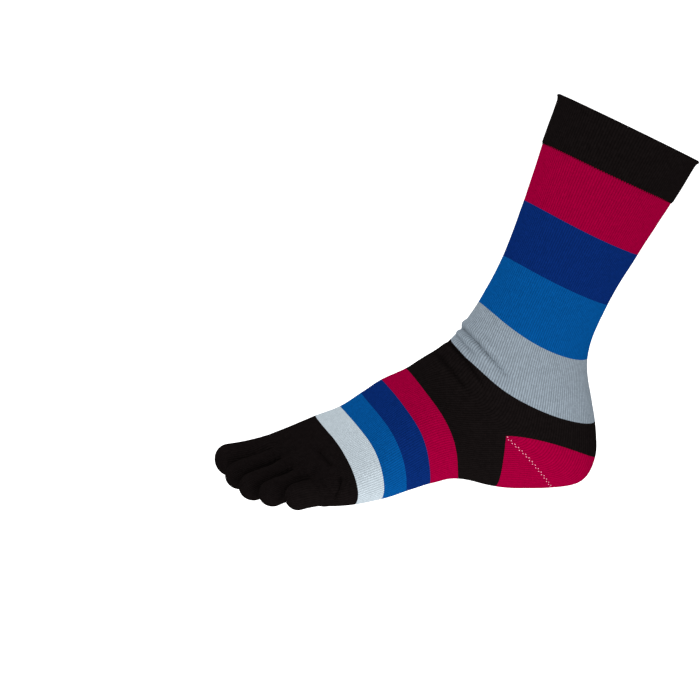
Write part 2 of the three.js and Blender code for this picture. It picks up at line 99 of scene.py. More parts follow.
# Toes from the inner to the outer side: their share of the root section, where the tip is, the width
# as a share of the foot's width, the thickness and the knuckle's lift as shares of the toe thickness
TOE_COLUMNS = ("name", "span", "tip_x", "tip_y", "tip_z", "width", "thickness", "lift")
TOES = (
    ("toe_big", 0.3, 0.866, -0.36, 0.084, 0.26, 1.05, -0.12),
    ("toe_second", 0.18, 0.855, -0.115, 0.058, 0.162, 0.95, 0.28),
    ("toe_third", 0.175, 0.833, 0.07, 0.046, 0.158, 0.95, 0.3),
    ("toe_fourth", 0.17, 0.795, 0.24, 0.045, 0.15, 0.9, 0.3),
    ("toe_little", 0.175, 0.745, 0.43, 0.06, 0.165, 0.88, 0.12),
)
TOE_STEPS = (4, 3, 3, 3, 4)  # shares of the facets over each toe's root
SCALLOP = 0.22  # how far the grooves between the toes press into the root section
SCALLOP_LEAD = 0.5  # rows before the ball where they begin
SCALLOP_WIDTH = 0.09  # their half width, as a share of the section's half width
WEB_REACH = 3 * MM  # how far the crotch between two toes bows forwards
TOE_CLEARANCE = 2.5 * MM  # how far each side of a toe draws in next to its root
PARTING_SHARE = 0.1  # share of a toe's length over which it does so at first
PARTING_LEFT = 0.4  # share of the clearance that is left where the toes are full
ROUNDING_SHARE = 0.45  # share of a toe's length over which its section turns round
STUB_LENGTH = 6 * MM  # seam of a toe pocket, measured along the toe from its root

# Folds where the ankle bends, the dent on the forefoot and the crease behind the little toe. Each is a
# run of places on the surface. A place is a share of the way from the fold's section to the next one,
# with shares over 1 beyond that one, and a turn in degrees from the top towards the outer side. A
# crease has a height below 0.
FOLDS = (
    # section, width and height in millimetres, places
    ("azure_end", 2.4, 1.3, ((0.56, -35), (0.52, 0), (0.49, 22), (0.51, 56))),
    ("azure_end", 2.1, -2.2, ((0.66, -30), (0.65, 2), (0.63, 29), (0.7, 76))),
    ("azure_end", 2.2, 1.3, ((0.78, -22), (0.77, 2), (0.74, 28), (0.75, 56))),
    ("azure_end", 1.3, -1.2, ((0.88, -20), (0.87, 5), (0.85, 38))),
    ("grey_end", 2.0, 1.0, ((0.2, -14), (0.12, 5), (0.08, 34))),
    ("grey_end", 1.9, -1.9, ((0.5, -10), (0.38, 10), (0.26, 28), (0.56, 56))),
    ("grey_end", 2.8, 1.6, ((0.85, -10), (0.7, 12), (0.62, 30), (0.85, 54))),
    ("heel_back", 1.9, -1.8, ((1.2, -8), (1.12, 14), (0.94, 32), (1.0, 52))),
    ("heel_bend", 2.8, 1.2, ((0.8, -8), (0.7, 14), (0.5, 38))),
    ("foot_silver_end", 1.9, -2.2, ((0.57, 11), (0.57, 27), (0.61, 46))),
    ("foot_silver_end", 1.9, -2.3, ((0.5, 54), (0.77, 66), (1.15, 76), (1.7, 86), (1.9, 110))),
    ("ball", 5.0, 1.0, ((0.2, 50), (0.5, 66), (1.0, 80))),
    ("ball", 2.4, -1.0, ((0.0, 34), (0.6, 37), (1.3, 41))),
)
FOLD_FADE = 0.22  # share of a fold's length over which it rises from nothing at either end
FOLD_STEPS = 13  # points of a fold's line
FOLD_REACH = 3  # how far a fold has any effect, in widths

# How far the edges between bands lie beyond their sections, as shares of the way to the next section,
# at turns in degrees from the inner side over the top to the outer side and the sole
EDGE_TURNS = (-180, -90, -40, 0, 22, 45, 65, 85, 105, 125, 180)
EDGE_SHIFTS = {
    "grey_end": (0, 0, 0.08, 0.16, 0.12, 0.07, 0.05, -0.03, -0.06, -0.07, 0),
    "instep": (0, 0, -0.03, -0.07, -0.09, -0.13, -0.2, -0.18, -0.02, 0.12, 0),
    "foot_magenta_end": (0, 0, 0, -0.03, -0.06, -0.05, -0.05, 0.04, 0.17, 0.25, 0),
    "foot_navy_end": (0, 0, 0, -0.05, -0.08, -0.06, 0.06, 0.19, 0.29, 0.32, 0),
    "foot_azure_end": (0, 0, 0.03, -0.08, -0.11, -0.09, 0.05, 0.17, 0.21, 0.22, 0),
    "foot_silver_end": (0, 0, -0.02, -0.16, -0.2, -0.1, 0.05, 0.19, 0.25, 0.28, 0),
}
EDGE_BLUR = (-10, -5, 0, 5, 10)  # degrees over which the shifts are averaged

# Slight roll of the welt's rim outwards
RIM_ROLL = 1.1 * MM
RIM_ROLL_ROWS = 0.07
HEM_BULGE = 0.5  # how far the welt's lower edge is rounded, as a share of a half circle

# Slight swelling of the cloth
UNEVEN_HEIGHT = 0.22 * MM
UNEVEN_LENGTH = 13 * MM

# Heel pocket seen from the side, as shares of the length and the height: the corner where its two
# edges meet, the lower end of its front edge, and the two points that bend its upper edge to a curve
HEEL_CORNER = (0.15, 0.165)
HEEL_FRONT_FOOT = (0.18, -0.05)
HEEL_UPPER_BEND = (0.04, 0.155)
HEEL_UPPER_END = (-0.121, 0.06)
HEEL_UPPER_STEPS = 16
HEEL_REACH = 60 * MM  # how far the cutting prism runs past the sock
GORE_LINE = ((0.15, 0.163), (0.094, 0.105), (0.046, 0.045), (0.014, 0.0))

# Bands of knit: piece, node, slot, first and last section
BANDS = (
    ("leg_band_magenta", "leg_magenta", "magenta_knit", "cuff_join", "magenta_end"),
    ("leg_band_navy", "leg_navy", "navy_knit", "magenta_end", "navy_end"),
    ("leg_band_azure", "leg_azure", "azure_knit", "navy_end", "azure_end"),
    ("leg_band_grey", "leg_grey", "grey_knit", "azure_end", "grey_end"),
    ("foot_band_magenta", "foot_magenta", "magenta_knit", "instep", "foot_magenta_end"),
    ("foot_band_navy", "foot_navy", "navy_knit", "foot_magenta_end", "foot_navy_end"),
    ("foot_band_azure", "foot_azure", "azure_knit", "foot_navy_end", "foot_azure_end"),
    ("foot_band_silver", "foot_silver", "silver_knit", "foot_azure_end", "foot_silver_end"),
)
LEG_BANDS = BANDS[:4]
FOOT_BANDS = BANDS[4:]

# Stitches that join the cuff to the leg
JOIN_LIFT = 0.12 * MM  # how far their middles lie over the leg
JOIN_LENGTH = 1.5 * MM
JOIN_RADIUS = 0.36 * MM

# Marks of the heel's gore, in two rows
GORE_PITCH = 3.4 * MM  # between two marks of a row
GORE_SPREAD = 0.45 * MM  # from the gore's line to each row
GORE_LENGTH = 0.85 * MM
GORE_RADIUS = 0.24 * MM

# Fineness of the meshes
AROUND = 272  # corners of a ring
EVEN_TURNS = np.arange(AROUND) / AROUND * FULL_TURN
ROW_LENGTH = 1.0 * MM  # between two rings of a band
WEB_STEPS = 16
TOE_SPLIT = WEB_STEPS // 2
STUB_ROWS = 8
POCKET_ROW_LENGTH = 0.9 * MM
DOME_ROWS = 12
ROUND_STEPS = 6  # over a rounded edge
STITCH_AROUND = 8
STITCH_RINGS = 5
STITCH_BLUNTNESS = 0.6  # power that rounds a stitch's ends
STITCH_FLATNESS = 0.8  # height of a stitch as a share of its width
BUTT_GAP = 0.02 * MM  # between two bands
SHARP_ANGLE = math.radians(50)

# Steps with which lengths and slopes of the surface are measured
BAND_STEPS = 24
TUBE_STEPS = 40
FOREFOOT_STEPS = 20
PATH_STEPS = 200
SLOPE_STEP = 0.01


def linear(hex_code):
    """Turns an sRGB hex value to linear red, green and blue."""
    channels = (int(hex_code[i : i + 2], 16) / 255 for i in (1, 3, 5))
    return tuple(c / 12.92 if c <= 0.04045 else ((c + 0.055) / 1.055) ** 2.4 for c in channels)


def size_property(name, description, default):
    """A length in metres."""
    return bpy.props.FloatProperty(
        name=name, description=description, default=default, min=0, unit="LENGTH", precision=4
    )


def colour_property(name, description, hex_code):
    """A yarn's colour."""
    return bpy.props.FloatVectorProperty(
        name=name, description=description, default=linear(hex_code), min=0, max=1, subtype="COLOR"
    )


class ToeSockSizes(bpy.types.PropertyGroup):
    """Sizes of the worn sock."""

    foot_length: size_property("Foot length", "Back of the heel to the longest toe", 240 * MM)
    sock_height: size_property("Sock height", "Heel seat to the highest point of the rim", 240 * MM)
    foot_width: size_property("Foot width", "Across the ball of the foot", 88 * MM)
    leg_width: size_property("Leg width", "From side to side at the rim", 86 * MM)
    toe_thickness: size_property("Toe thickness", "Top to underside of the middle toe", 17 * MM)
    wall: size_property("Wall", "Thickness of the plain knit", 1.2 * MM)
    cuff_wall: size_property("Cuff wall", "Thickness of the doubled welt", 2.4 * MM)
    cuff_inset: size_property("Cuff inset", "How far the welt reaches in under the leg", 0.5 * MM)
    # A wale of 1.45 mm gives 152 wales round the ankle, as a knitting cylinder of usual fineness does
    wale: size_property("Wale", "Width of one stitch on the worn ankle", 1.45 * MM)
    course: size_property("Course", "Height of one stitch on the worn leg", 1.1 * MM)


class ToeSockYarns(bpy.types.PropertyGroup):
    """Colours of the yarns."""

    black: colour_property("Black", "Cuff, ankle and toes", "#0c0909")
    magenta: colour_property("Magenta", "Heel and one band of each set", "#730026")
    navy: colour_property("Navy", "Second band of each set", "#051c4f")
    azure: colour_property("Azure", "Third band of each set", "#033a6e")
    grey: colour_property("Grey", "Band over the ankle", "#687179")
    silver: colour_property("Silver", "Last band of the foot", "#8f989e")
    thread: colour_property("Gore thread", "Marks of the heel's gore", "#d98fa8")


class SockForm:
    """The inner face of the worn sock, in metres, worked out from the sizes and tables. The wall
    stands outside it."""

    def __init__(self, sizes):
        sections = LEG_SECTIONS + FOOT_SECTIONS
        self.sizes = sizes
        self.names = [section[0] for section in sections]
        widths = [sizes.leg_width] * len(LEG_SECTIONS) + [sizes.foot_width] * len(FOOT_SECTIONS)
        scales = {
            "upper_x": sizes.foot_length,
            "upper_z": sizes.sock_height,
            "under_x": sizes.foot_length,
            "under_z": sizes.sock_height,
            "width": np.array(widths) / 2,
            "side": np.array(widths),
            "ridge": np.array(widths),
            "roll": math.radians(1),
            "sweep": math.radians(1),
            "dip": np.array(widths),
            "square": 1,
        }
        self.columns = {}
        for column, scale in scales.items():
            place = SECTION_COLUMNS.index(column)
            known = np.array([section[place] for section in sections], float) * scale
            before = 2 * known[0] - known[1]
            after = 2 * known[-1] - known[-2]
            self.columns[column] = np.concatenate(([before], known, [after]))
        self.toe_edges = 2 * np.cumsum([toe[1] for toe in TOES])[:-1] - 1
        self.root_row = self.row("toe_roots")
        self.folds = [self.fold_line(*fold) for fold in FOLDS]

    def row(self, name):
        return self.names.index(name)

    def value(self, column, row):
        """One column of the section table at places between its rows, on a smooth curve."""
        known = self.columns[column]
        i = np.clip(np.floor(row).astype(int), 0, len(self.names) - 2)
        share = row - i
        p0, p1, p2, p3 = (known[i + k] for k in range(4))
        bend = 2 * p0 - 5 * p1 + 4 * p2 - p3
        twist = 3 * p1 - p0 - 3 * p2 + p3
        return 0.5 * (2 * p1 + (p2 - p0) * share + bend * share**2 + twist * share**3)

    def band_length(self, first, last):
        """The mean length of a band along the sock, between its two sections."""
        rows = np.linspace(self.row(first), self.row(last), BAND_STEPS)[:, None]
        turns = np.linspace(0, FULL_TURN, BAND_STEPS, endpoint=False)[None, :]
        points = self.surface(rows + 0 * turns, turns + 0 * rows)
        steps = np.linalg.norm(np.diff(points, axis=0), axis=-1)
        return float(steps.sum(axis=0).mean())

    def wales(self):
        """Whole number of wales round the sock, set by the ankle's girth."""
        ring = self.plain(np.array([[self.row("azure_end")]]), EVEN_TURNS[None, :])[0]
        return round(girth(ring) / self.sizes.wale)

    def plain(self, row, turn):
        """Points of the surface without folds. The turn is 0 on top and grows to the outer side."""
        at = {column: self.value(column, row) for column in self.columns}
        across, along = np.sin(turn), np.cos(turn)
        square = at["square"] * (1 - along) / 2
        half_x = (at["upper_x"] - at["under_x"]) / 2
        half_z = (at["upper_z"] - at["under_z"]) / 2
        half = np.hypot(half_x, half_z)
        pressed = sum(bell(across - edge, SCALLOP_WIDTH) for edge in self.toe_edges)
        start = self.row("ball") - SCALLOP_LEAD
        scallop = 1 - SCALLOP * pressed * smooth((row - start) / (self.root_row - start))
        height = along * (1 + square * across**2) * scallop
        reach = at["width"] * across * (1 + square * along**2) + at["ridge"] * (1 + along) / 2
        dip = at["dip"] * across**2
        flat = reach * np.cos(at["roll"])
        x = (at["upper_x"] + at["under_x"]) / 2 + half_x * height + half_z / half * dip
        z = (at["upper_z"] + at["under_z"]) / 2 + half_z * height - half_x / half * dip
        x = x - flat * np.sin(at["sweep"])
        y = at["side"] + flat * np.cos(at["sweep"])
        return np.stack((x, y, z + reach * np.sin(at["roll"])), -1)

    def fold_line(self, section, width, height, places):
        """A fold's line on the surface, through its places, with its width and height in metres."""
        rows = [self.row(section) + share for share, _ in places]
        turns = [math.radians(degrees) for _, degrees in places]
        known = np.arange(len(places))
        steps = np.linspace(0, known[-1], FOLD_STEPS)
        line = self.plain(np.interp(steps, known, rows), np.interp(steps, known, turns))
        return line, width * MM, height * MM

    def relief(self, points):
        """Height of the folds over the plain surface."""
        height = np.zeros(points.shape[:-1])
        for line, width, rise in self.folds:
            reach = FOLD_REACH * width
            low, high = line.min(axis=0) - reach, line.max(axis=0) + reach
            near = ((points > low) & (points < high)).all(axis=-1)
            if near.any():
                distance, share = along_line(points[near], line)
                faded = smooth(share / FOLD_FADE) * smooth((1 - share) / FOLD_FADE)
                height[near] += rise * faded * bell(distance, width)
        return height

    def surface(self, row, turn):
        """Points of the surface with its folds, the rim's roll and the bands' own edges."""
        shift = 0
        for name, shifts in EDGE_SHIFTS.items():
            turned = (np.degrees(turn)[..., None] + EDGE_BLUR + 180) % 360 - 180
            near = np.clip(1 - np.abs(row - self.row(name)), 0, 1)
            shift = shift + near * np.interp(turned, EDGE_TURNS, shifts).mean(axis=-1)
        row = row + shift
        points = self.plain(row, turn)
        normals = outward(self.plain, row, turn)
        rise = self.relief(points) + RIM_ROLL * bell(row, RIM_ROLL_ROWS)
        return points + normals * rise[..., None]


def smooth(share):
    held = np.clip(share, 0, 1)
    return held * held * (3 - 2 * held)


def bell(distance, width):
    return np.exp(-((distance / width) ** 2))


def mix(a, b, share):
    return a + (b - a) * share


def unit(vectors):
    return vectors / np.linalg.norm(vectors, axis=-1, keepdims=True)


def along_line(points, line):
    """Distance of points from a broken line, and the share of its length at the nearest place."""
    lengths = np.linalg.norm(np.diff(line, axis=0), axis=1)
    starts = np.concatenate(([0], np.cumsum(lengths)))
    best = np.full(points.shape[:-1], np.inf)
    share = np.zeros(points.shape[:-1])
    for i, length in enumerate(lengths):
        step = (line[i + 1] - line[i]) / length
        reached = np.clip((points - line[i]) @ step, 0, length)
        distance = np.linalg.norm(points - line[i] - reached[..., None] * step, axis=-1)
        nearer = distance < best
        best = np.where(nearer, distance, best)
        share = np.where(nearer, (starts[i] + reached) / starts[-1], share)
    return best, share


def slopes(surface, row, turn):
    """Differences along and around a surface, for its directions there."""
    onward = surface(row + SLOPE_STEP, turn) - surface(row - SLOPE_STEP, turn)
    around = surface(row, turn + SLOPE_STEP) - surface(row, turn - SLOPE_STEP)
    return onward, around


def outward(surface, row, turn):
    """Outward direction of a surface."""
    return unit(np.cross(*slopes(surface, row, turn)))


def girth(ring):
    """Length round a ring of corners."""
    return np.linalg.norm(ring - np.roll(ring, 1, axis=0), axis=1).sum()


def join_rings(faces, counts, ring, after, ring_counts, after_counts):
    """Adds the faces between two rings. The counts have one entry more than the ring."""
    for i in range(len(ring)):
        j = (i + 1) % len(ring)
        faces.append((ring[i], ring[j], after[j], after[i]))
        counts.append((ring_counts[i], ring_counts[i + 1], after_counts[i + 1], after_counts[i]))


class Knit:
    """One layer of knit while it is made: rings of corners, joined by faces with stitch counts."""

    def __init__(self):
        self.points = []
        self.faces = []
        self.counts = []  # wale and course at each corner of each face
        self.rims = []  # rings of corners at open ends, with the direction of a rounded edge
        self.fixed = []  # rings whose outward directions are known, with those directions

    def add(self, ring):
        start = len(self.points)
        self.points.extend(ring)
        return list(range(start, len(self.points)))

    def add_run(self, rings, counts):
        """Adds rings and joins each one to the next."""
        corners = [self.add(ring) for ring in rings]
        for i in range(len(corners) - 1):
            join_rings(self.faces, self.counts, corners[i], corners[i + 1], counts[i], counts[i + 1])
        return corners

    def outward(self):
        """Outward direction at each corner, from the faces around it."""
        points = np.array(self.points)
        faces = np.array(self.faces)
        corners = points[faces]
        directions = np.cross(corners[:, 2] - corners[:, 0], corners[:, 3] - corners[:, 1])
        total = np.zeros_like(points)
        for i in range(4):
            np.add.at(total, faces[:, i], directions)
        return unit(-total)

    def shell(self, wall, inset=0.0):
        """Corners, faces and counts of the closed wall outside this layer. inset moves it inwards."""
        directions = self.outward()
        for corners, known in self.fixed:
            directions[corners] = known
        inner = np.array(self.points) - directions * inset
        outer = inner + directions * wall
        points = list(inner) + list(outer)
        count = len(self.points)
        faces = list(self.faces)
        counts = list(self.counts)
        for face, face_counts in zip(self.faces, self.counts):
            faces.append(tuple(corner + count for corner in reversed(face)))
            counts.append(tuple(reversed(face_counts)))
        for rim, rim_counts, bulge in self.rims:
            rings = [[corner + count for corner in rim]]
            if bulge is not None:
                middle = (outer[rim] + inner[rim]) / 2
                arm = outer[rim] - middle
                reach = np.linalg.norm(arm, axis=1, keepdims=True) * bulge
                for k in range(1, ROUND_STEPS):
                    angle = HALF_TURN * k / ROUND_STEPS
                    start = len(points)
                    points.extend(middle + arm * math.cos(angle) + reach * math.sin(angle))
                    rings.append(list(range(start, len(points))))
            rings.append(list(rim))
            for ring, after in zip(rings, rings[1:]):
                join_rings(faces, counts, ring, after, rim_counts, rim_counts)
        return points, faces, counts


def run_lengths(rings):
    """Length along each run of corners, from the first ring to each later one."""
    steps = np.linalg.norm(np.diff(rings, axis=0), axis=-1)
    return np.concatenate((np.zeros((1, rings.shape[1])), np.cumsum(steps, axis=0)))


def closed(values):
    return np.concatenate((values, values[:, :1]), axis=1)


def wale_shares(rings):
    """Share of the girth at each corner of each ring, with 1 at the end of the ring."""
    steps = np.linalg.norm(np.diff(closed(rings), axis=1), axis=-1)
    run = np.concatenate((np.zeros((len(rings), 1)), np.cumsum(steps, axis=1)), axis=1)
    return run / run[:, -1:]


def stitch_counts(form, rows, turns, rings):
    """Wale and course at each corner of the rings of a tube."""
    wales = wale_shares(form.plain(rows, turns)) * form.wales()
    return np.stack((wales, closed(run_lengths(rings)) / form.sizes.course), -1)


def unevenness(points):
    """Slight swelling of the cloth, the same on both sides of a join."""
    flat = points.reshape(-1, 3) / UNEVEN_LENGTH
    heights = np.array([noise.noise(Vector(point)) for point in flat])
    return heights.reshape(points.shape[:-1]) * UNEVEN_HEIGHT


def tube_knit(form, first, last, pulls, bulges=(None, None)):
    """A tube of knit from one section to another. pulls move its two ends along the sock, and
    bulges round them."""
    start, end = form.row(first), form.row(last)
    middle = form.surface(np.linspace(start, end, TUBE_STEPS)[:, None], np.array([[0, HALF_TURN]]))
    longest = run_lengths(middle)[-1].max()
    steps = max(2, math.ceil(longest / ROW_LENGTH))
    rows = np.linspace(start, end, steps + 1)[:, None]
    turns = EVEN_TURNS[None, :]
    rings = form.surface(rows, turns)
    onward = unit(slopes(form.surface, rows, turns)[0])
    normals = outward(form.surface, rows, turns)
    rings[0] += onward[0] * pulls[0]
    rings[-1] += onward[-1] * pulls[1]
    rings += normals * unevenness(rings)[..., None]
    counts = stitch_counts(form, rows, turns, rings)
    knit = Knit()
    corners = knit.add_run(rings, counts)
    bulge_start = None if bulges[0] is None else -onward[0] * bulges[0]
    bulge_end = None if bulges[1] is None else onward[-1][::-1] * bulges[1]
    knit.rims.append((corners[0], counts[0], bulge_start))
    knit.rims.append((corners[-1][::-1], counts[-1][::-1], bulge_end))
    knit.fixed.extend((corners[i], normals[i]) for i in (0, -1))
    return knit


def build_mesh(name, points, faces, counts=None):
    """A smooth mesh with a sharp edge where its wall ends, and stitch counts as its UV map."""
    mesh = bpy.data.meshes.new(name)
    mesh.from_pydata([tuple(point) for point in points], [], faces)
    if counts is not None:
        layer = mesh.uv_layers.new(name="stitches")
        flat = np.array([count for face in counts for count in face], np.float32)
        layer.data.foreach_set("uv", flat.ravel())
    mesh.shade_smooth()
    mesh.set_sharp_from_angle(angle=SHARP_ANGLE)
    return mesh


def link_object(name, data):
    """Puts a new object in the scene."""
    made = bpy.data.objects.new(name, data)
    bpy.context.scene.collection.objects.link(made)
    return made


def place_piece(name, mesh, material, nodes=()):
    """Puts a mesh in the scene as a piece of the sock."""
    piece = link_object(name, mesh)
    mesh.materials.append(material)
    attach(piece, "root")
    if nodes:
        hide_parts(*nodes)
    return piece


def stitch_mesh(name, stitches):
    """One mesh of many small stitches: each has a middle, a direction, an outward direction, a
    length and a radius."""
    points, faces = [], []
    for middle, direction, normal, length, radius in stitches:
        side = direction.cross(normal).normalized()
        up = side.cross(direction).normalized()
        start = len(points)
        for k in range(STITCH_RINGS):
            angle = HALF_TURN * (k + 0.5) / STITCH_RINGS
            along = -math.cos(angle) * length / 2
            size = radius * math.sin(angle) ** STITCH_BLUNTNESS
            for i in range(STITCH_AROUND):
                turn = FULL_TURN * i / STITCH_AROUND
                height = math.sin(turn) * size * STITCH_FLATNESS
                points.append(middle + direction * along + side * math.cos(turn) * size + up * height)
        tail = len(points)
        points.append(middle - direction * length / 2)
        points.append(middle + direction * length / 2)
        last = tail - STITCH_AROUND
        for i in range(STITCH_AROUND):
            j = (i + 1) % STITCH_AROUND
            for ring in range(start, last, STITCH_AROUND):
                after = ring + STITCH_AROUND
                faces.append((after + i, after + j, ring + j, ring + i))
            faces.append((tail, start + i, start + j))
            faces.append((tail + 1, last + j, last + i))
    return build_mesh(name, points, faces)


# Materials


def add_node(tree, kind, inputs=None, **settings):
    """Adds a node. inputs are values or outputs of other nodes, by the name or number of the input,
    and settings are the node's properties."""
    node = tree.nodes.new(kind)
    for name, value in settings.items():
        setattr(node, name, value)
    for name, value in (inputs or {}).items():
        if isinstance(value, bpy.types.NodeSocket):
            tree.links.new(value, node.inputs[name])
        else:
            node.inputs[name].default_value = value
    return node


def new_material(name):
    """A new material with its node tree and shader."""
    material = bpy.data.materials.new(name)
    material.use_nodes = True
    return material, material.node_tree, material.node_tree.nodes["Principled BSDF"]


# Finish of each knit: the material's name, the yarn's colour property, how much painted shade darkens
# the furrows between the stitches, how unevenly single stitches take the dye, and how mottled the
# cloth is
KNIT_FINISHES = {
    "black_welt": ("combed_cotton_welt_black", "black", 0.5, 0.25, 0.15),
    "black_knit": ("combed_cotton_jersey_black", "black", 0.45, 0.25, 0.18),
    "magenta_knit": ("combed_cotton_jersey_magenta", "magenta", 0.42, 0.12, 0.07),
    "navy_knit": ("combed_cotton_jersey_navy", "navy", 0.42, 0.14, 0.08),
    "azure_knit": ("combed_cotton_jersey_azure", "azure", 0.42, 0.12, 0.07),
    "grey_knit": ("melange_cotton_jersey_grey", "grey", 0.55, 0.16, 0.06),
    "silver_knit": ("melange_cotton_jersey_silver", "silver", 0.42, 0.1, 0.04),
}
STITCH_SLANT = 0.55  # how far the two legs of a stitch lean, in courses
STITCH_LOW = 0.75  # height of a stitch at its ends, as a share of its middle
STITCH_RELIEF = 0.22 * MM
FIBRE_RELIEF = 0.05 * MM
FIBRE_SIZE = 0.35 * MM  # of the tufts of fibre that stand out of the yarn
MOTTLE_SIZE = 2.5 * MM  # of the cloudy patches of thicker and thinner yarn
THREAD_SHADE = 0.7  # colour that painted shade leaves between the fibres of the gore thread
FURROW_SHADE_LEVEL = 0.1  # colour that the painted shade leaves in the deepest furrow
MEAN_RAISED = 0.56  # mean height of the stitch pattern
LIGHT_SHARE = 0.8  # share of the mix that an even, raised stitch takes


def knit_material(slot_name, yarns):
    """Plain weft knit of combed cotton with some elastane. Soft fibres scatter light, so it is matt
    and nearly without shine, and its columns of small V stitches show as fine lines, from their bump
    and from painted shade in the furrows between them."""
    name, yarn, furrow_shade, unevenly, mottled = KNIT_FINISHES[slot_name]
    if name in bpy.data.materials:
        return bpy.data.materials[name]
    colour = np.array(getattr(yarns, yarn))
    material, tree, shader = new_material(name)
    maths = "ShaderNodeMath"

    # The stitch pattern: columns with V stitches that lean to their middle
    counts = add_node(tree, "ShaderNodeUVMap", uv_map="stitches").outputs[0]
    wale, course, _ = add_node(tree, "ShaderNodeSeparateXYZ", {0: counts}).outputs
    aside = add_node(tree, maths, {0: wale, 1: 0.5}, operation="PINGPONG").outputs[0]
    angle = add_node(tree, maths, {0: aside, 1: HALF_TURN}, operation="MULTIPLY").outputs[0]
    across = add_node(tree, maths, {0: angle}, operation="SINE").outputs[0]
    lean = {0: aside, 1: 2 * STITCH_SLANT, 2: course}
    leaning = add_node(tree, maths, lean, operation="MULTIPLY_ADD").outputs[0]
    level = add_node(tree, maths, {0: leaning, 1: 0.5}, operation="PINGPONG").outputs[0]
    arch = {0: level, 1: 2 * (1 - STITCH_LOW), 2: STITCH_LOW}
    along = add_node(tree, maths, arch, operation="MULTIPLY_ADD").outputs[0]
    raised = add_node(tree, maths, {0: across, 1: along}, operation="MULTIPLY").outputs[0]

    # Painted shade in the furrows between the stitches, and the yarn's own tone, uneven from stitch to
    # stitch and mottled
    column = add_node(tree, maths, {0: wale}, operation="FLOOR").outputs[0]
    stitch = add_node(tree, maths, {0: leaning}, operation="FLOOR").outputs[0]
    cell = add_node(tree, "ShaderNodeCombineXYZ", {0: column, 1: stitch}).outputs[0]
    dye = add_node(tree, "ShaderNodeTexWhiteNoise", {"Vector": cell}, noise_dimensions="2D").outputs[0]
    place = add_node(tree, "ShaderNodeTexCoord").outputs["Object"]
    clouds = {"Vector": place, "Scale": 1 / MOTTLE_SIZE, "Detail": 3.0}
    mottle = add_node(tree, "ShaderNodeTexNoise", clouds).outputs[0]
    fibres = {"Vector": place, "Scale": 1 / FIBRE_SIZE, "Detail": 2.0}
    fibre = add_node(tree, "ShaderNodeTexNoise", fibres).outputs[0]
    # light holds the painted shade of the furrows together with the yarn's own uneven and mottled tone
    light = 1 - furrow_shade - unevenly / 2 - mottled
    for value, strength in ((raised, furrow_shade), (dye, unevenly), (mottle, 2 * mottled)):
        added = {0: value, 1: strength, 2: light}
        light = add_node(tree, maths, added, operation="MULTIPLY_ADD").outputs[0]
    factor = add_node(tree, maths, {0: light, 1: LIGHT_SHARE}, operation="MULTIPLY").outputs[0]
    mean_factor = LIGHT_SHARE * (1 - furrow_shade * (1 - MEAN_RAISED))
    crest = (1 - FURROW_SHADE_LEVEL * (1 - mean_factor)) / mean_factor
    # A is the painted shade of the deepest furrow and B the lit crest, brighter than the yarn, so that
    # the mean keeps the yarn's colour
    shade = add_node(tree, "ShaderNodeMix", {"Factor": factor}, data_type="RGBA")
    shade.inputs["A"].default_value = (*(colour * FURROW_SHADE_LEVEL), 1)
    shade.inputs["B"].default_value = (*np.minimum(colour * crest, 1), 1)
    tree.links.new(shade.outputs["Result"], shader.inputs["Base Color"])

    # Relief of the stitches and of the fibres on them, in millimetres
    height = 0.0
    for value, strength in ((raised, STITCH_RELIEF / MM), (fibre, FIBRE_RELIEF / MM)):
        added = {0: value, 1: strength, 2: height}
        height = add_node(tree, maths, added, operation="MULTIPLY_ADD").outputs[0]
    bump = add_node(tree, "ShaderNodeBump", {"Height": height, "Distance": MM, "Strength": 1.0})
    tree.links.new(bump.outputs[0], shader.inputs["Normal"])
    shader.inputs["Roughness"].default_value = 0.9
    shader.inputs["Specular IOR Level"].default_value = 0.0
    return material


def thread_material(yarns):
    """Polyester gore thread, paler than the heel, so that each mark reads as a small pale dash."""
    name = "polyester_gore_thread"
    if name in bpy.data.materials:
        return bpy.data.materials[name]
    material, tree, shader = new_material(name)
    colour = np.array(yarns.thread)
    place = add_node(tree, "ShaderNodeTexCoord").outputs["Object"]
    # Painted shade between the fibres: the thread is darker where a fibre-sized noise is low
    fibre = add_node(tree, "ShaderNodeTexNoise", {"Vector": place, "Scale": 1 / FIBRE_SIZE})
    shade = add_node(tree, "ShaderNodeMix", {"Factor": fibre.outputs[0]}, data_type="RGBA")
    shade.inputs["A"].default_value = (*(colour * THREAD_SHADE), 1)
    shade.inputs["B"].default_value = (*colour, 1)
    tree.links.new(shade.outputs["Result"], shader.inputs["Base Color"])
    shader.inputs["Roughness"].default_value = 0.6
    shader.inputs["Sheen Weight"].default_value = 0.2
    return material


# Pieces


def sock_form(context):
    return SockForm(context.scene.toe_sock_sizes)


def knit_piece(context, name, node, slot_name, shell):
    """Puts a closed layer of knit in the scene as one piece."""
    material = knit_material(slot_name, context.scene.toe_sock_yarns)
    piece = place_piece(name, build_mesh(name, *shell), material, [node])


def build_bands(context, bands):
    """Builds the bands of one part of the sock."""
    form = sock_form(context)
    for name, node, slot_name, first, last in bands:
        knit = tube_knit(form, first, last, (BUTT_GAP / 2, -BUTT_GAP / 2))
        length = form.band_length(first, last)
        knit_piece(context, name, node, slot_name, knit.shell(form.sizes.wall))


